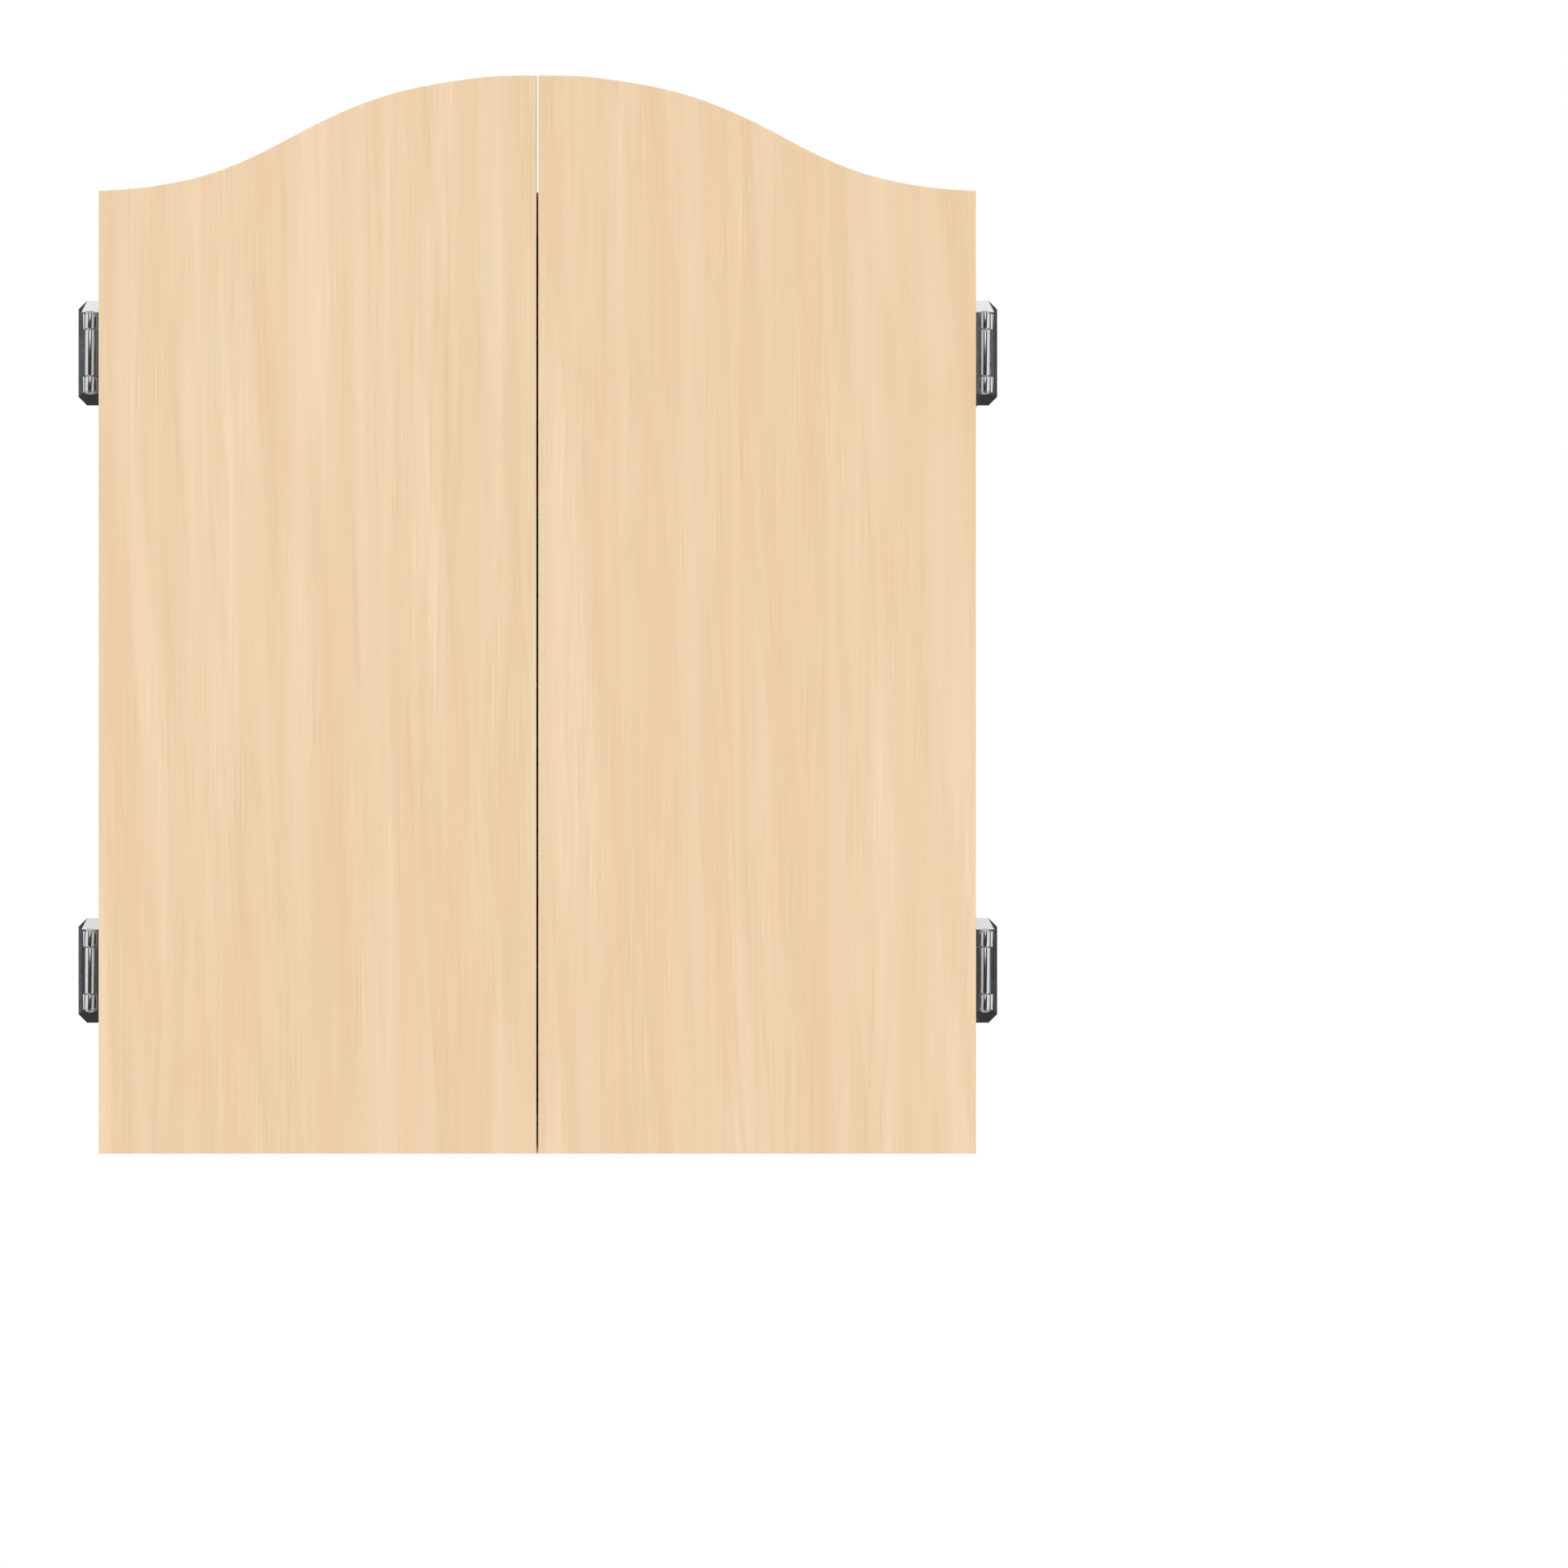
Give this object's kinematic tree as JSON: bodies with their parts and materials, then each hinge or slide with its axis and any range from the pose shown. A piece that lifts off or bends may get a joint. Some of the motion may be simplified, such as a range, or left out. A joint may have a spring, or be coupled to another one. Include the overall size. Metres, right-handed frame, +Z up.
{
  "type": "dart board cabinet",
  "caption": "Wall-hung shallow wooden cabinet with a pair of arched-top doors on projecting hinges, closing over a dart board that hangs on a bracket.",
  "frame": {"origin": "on the wall plane, the back face of the back panel, at the centre of the wall-screw pattern and straight behind the bull", "axes": "+X to the right seen from the room, +Y into the wall, +Z up; the doors face -Y"},
  "size_m": [0.5352, 0.0855, 0.6272],
  "materials": {
    "back_board": "matt foil on thin fibreboard",
    "zinc_screw": "bright zinc plate",
    "light_wood_foil": "satin foil with a fine vertical grain on fibreboard",
    "dowel_wood": "bare beech",
    "catch_plastic": "moulded, fine matt",
    "magnet": "dark ferrite",
    "bracket_zinc": "zinc-plated pressed steel",
    "nickel_screw": "bright nickel plate",
    "hinge_nickel": "bright nickel plate",
    "dry_wipe_white": "gloss dry-wipe sheet with printed rules",
    "frame_black": "moulded, satin",
    "rack_black": "moulded, satin",
    "strike_steel": "bright zinc plate",
    "clear_bumper": "soft clear dot",
    "backing_board": "raw chipboard",
    "band_black": "black-coated rolled steel strip",
    "sisal_body": "compressed sisal fibre, end on",
    "sisal_black": "dyed sisal, matt",
    "sisal_cream": "natural sisal, matt",
    "sisal_red": "dyed sisal, matt",
    "sisal_green": "dyed sisal, matt",
    "spider_wire": "bright drawn wire",
    "number_white": "white-coated steel wire",
    "clip_black": "moulded, satin",
    "pad_foam": "dense foam"
  },
  "bodies": {
    "carcass": {"back_panel": "back_board", "back_panel_screws": "zinc_screw", "left_side_panel": "light_wood_foil", "right_side_panel": "light_wood_foil", "top_panel": "light_wood_foil", "bottom_panel": "light_wood_foil", "corner_dowels": "dowel_wood", "catch_housings": "catch_plastic", "catch_magnets": "magnet", "catch_screws": "zinc_screw", "board_bracket": "bracket_zinc", "bracket_screws": "zinc_screw", "hinge_plate_screws": "nickel_screw", "upper_left_hinge_plate": "hinge_nickel", "upper_left_hinge_pin": "hinge_nickel", "upper_right_hinge_plate": "hinge_nickel", "upper_right_hinge_pin": "hinge_nickel", "lower_left_hinge_plate": "hinge_nickel", "lower_left_hinge_pin": "hinge_nickel", "lower_right_hinge_plate": "hinge_nickel", "lower_right_hinge_pin": "hinge_nickel"},
    "door_left": {"left_door": "light_wood_foil", "left_scoreboard": "dry_wipe_white", "left_scoreboard_frame": "frame_black", "left_dart_rack": "rack_black", "left_inside_screws": "zinc_screw", "left_strike_plates": "strike_steel", "left_door_bumpers": "clear_bumper", "upper_left_hinge_leaf": "hinge_nickel", "lower_left_hinge_leaf": "hinge_nickel", "left_hinge_leaf_screws": "nickel_screw"},
    "door_right": {"right_door": "light_wood_foil", "right_scoreboard": "dry_wipe_white", "right_scoreboard_frame": "frame_black", "right_dart_rack": "rack_black", "right_inside_screws": "zinc_screw", "right_strike_plates": "strike_steel", "right_door_bumpers": "clear_bumper", "upper_right_hinge_leaf": "hinge_nickel", "lower_right_hinge_leaf": "hinge_nickel", "right_hinge_leaf_screws": "nickel_screw"},
    "hanger": {"hanger_screw": "zinc_screw"},
    "dart_board": {"board_backing": "backing_board", "board_band": "band_black", "sisal_core": "sisal_body", "surround_face": "sisal_black", "black_fields": "sisal_black", "cream_fields": "sisal_cream", "red_fields": "sisal_red", "green_fields": "sisal_green", "spider_rings": "spider_wire", "spider_radials": "spider_wire", "spider_staples": "spider_wire", "bull_rings": "spider_wire", "number_ring": "number_white", "number_ring_digits": "number_white", "number_ring_clips": "clip_black", "clip_screws": "zinc_screw", "board_rest_pads": "pad_foam"}
  },
  "joints": [
    {"name": "left_door_hinge", "type": "hinge", "parent": "carcass", "child": "door_left", "pos_m": [-0.2604, -0.0795, 0], "axis": [0, 0, -1], "range_deg": [0, 180]},
    {"name": "right_door_hinge", "type": "hinge", "parent": "carcass", "child": "door_right", "pos_m": [0.2604, -0.0795, 0], "axis": [0, 0, 1], "range_deg": [0, 180]},
    {"name": "board_lift", "type": "slide", "parent": "carcass", "child": "hanger", "axis": [0, 0, 1], "range_m": [0, 0.012]},
    {"name": "board_turn", "type": "hinge", "parent": "hanger", "child": "dart_board", "pos_m": [0, -0.025, 0], "axis": [0, -1, 0], "continuous": true}
  ]
}
